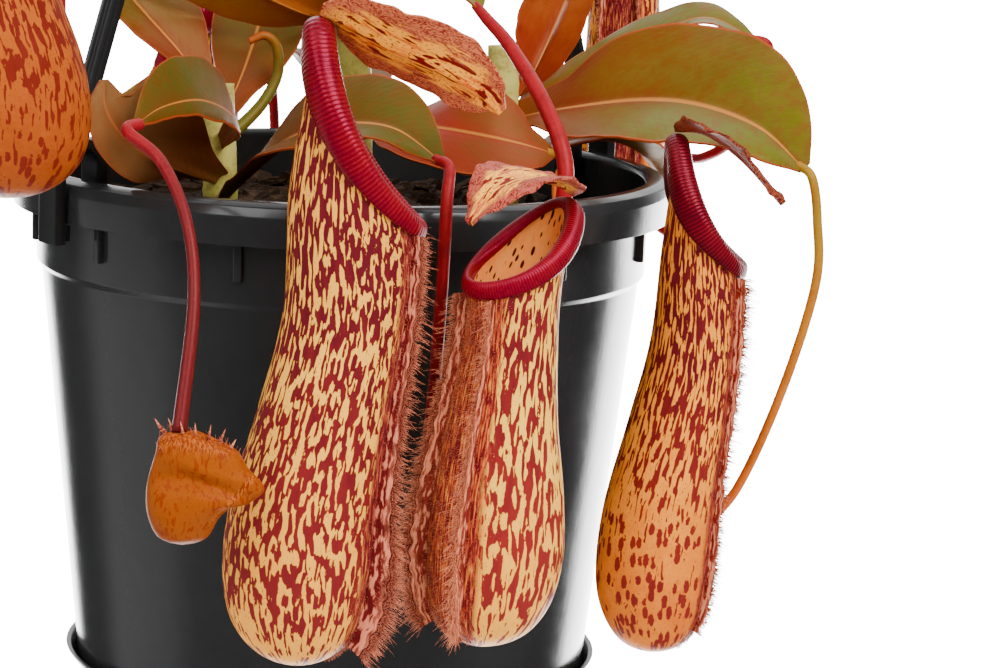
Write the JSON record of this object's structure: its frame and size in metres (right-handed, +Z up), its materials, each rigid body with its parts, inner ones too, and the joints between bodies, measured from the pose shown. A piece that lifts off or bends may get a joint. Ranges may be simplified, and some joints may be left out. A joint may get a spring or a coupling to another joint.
{
  "type": "hanging pitcher plant",
  "caption": "Tropical pitcher plant with strap leaves, tendrils and lidded, ribbed-lipped pitchers, growing in a black plastic hanging pot with a clip-on saucer and hook.",
  "frame": {"origin": "centre of the saucer's flat underside", "axes": "+Z up towards the hook, +X to the right and +Y away from the viewer as pictured"},
  "size_m": [0.2247, 0.2567, 0.4391],
  "materials": {
    "black_plastic": "black, semi-gloss moulded plastic",
    "bark": "brown, matte, moist bark chips",
    "stem": "yellow-green, satin plant stem",
    "leaf": "olive green, satin leaf with a pinkish midrib",
    "flushed_leaf": "leaf with a brown-red flush, satin",
    "red_tendril": "crimson, satin tendril",
    "pale_tendril": "olive to orange-yellow, satin tendril",
    "cream_cup": "cream-yellow with maroon blotches, satin",
    "orange_cup": "orange-yellow with red-brown blotches, satin",
    "crimson_lip": "crimson, glossy, finely ribbed",
    "lid": "orange-yellow with maroon streaks, satin"
  },
  "bodies": {
    "root": {"bail": "black_plastic", "bark_mix": "bark", "leaf_back": "leaf", "leaf_back_left": "leaf", "leaf_back_red": "flushed_leaf", "leaf_back_right": "leaf", "leaf_back_tall": "leaf", "leaf_behind_left": "leaf", "leaf_crown": "leaf", "leaf_curled": "flushed_leaf", "leaf_front": "leaf", "leaf_high_left": "leaf", "leaf_high_right": "leaf", "leaf_long": "leaf", "leaf_looped": "leaf", "leaf_low_left": "leaf", "leaf_low_right": "leaf", "leaf_middle": "leaf", "leaf_right_large": "leaf", "leaf_top_left": "flushed_leaf", "leaf_upper_left": "leaf", "pitcher_behind_cup": "orange_cup", "pitcher_behind_lid": "lid", "pitcher_behind_lip": "crimson_lip", "pitcher_high_cup": "orange_cup", "pitcher_high_lid": "lid", "pitcher_high_lip": "crimson_lip", "pitcher_main_cup": "cream_cup", "pitcher_main_lid": "lid", "pitcher_main_lip": "crimson_lip", "pitcher_middle_cup": "cream_cup", "pitcher_middle_lid": "lid", "pitcher_middle_lip": "crimson_lip", "pitcher_rear_cup": "cream_cup", "pitcher_rear_lid": "lid", "pitcher_rear_lip": "crimson_lip", "pitcher_side_cup": "orange_cup", "pitcher_side_lid": "lid", "pitcher_side_lip": "crimson_lip", "pitcher_young": "orange_cup", "pot": "black_plastic", "saucer": "black_plastic", "shoot": "pale_tendril", "stem_left": "stem", "stem_right": "stem", "stem_tall": "stem", "tendril_behind": "red_tendril", "tendril_bud": "pale_tendril", "tendril_high": "red_tendril", "tendril_main": "red_tendril", "tendril_middle": "red_tendril", "tendril_rear": "red_tendril", "tendril_side": "pale_tendril", "tendril_young": "red_tendril"}
  },
  "joints": []
}
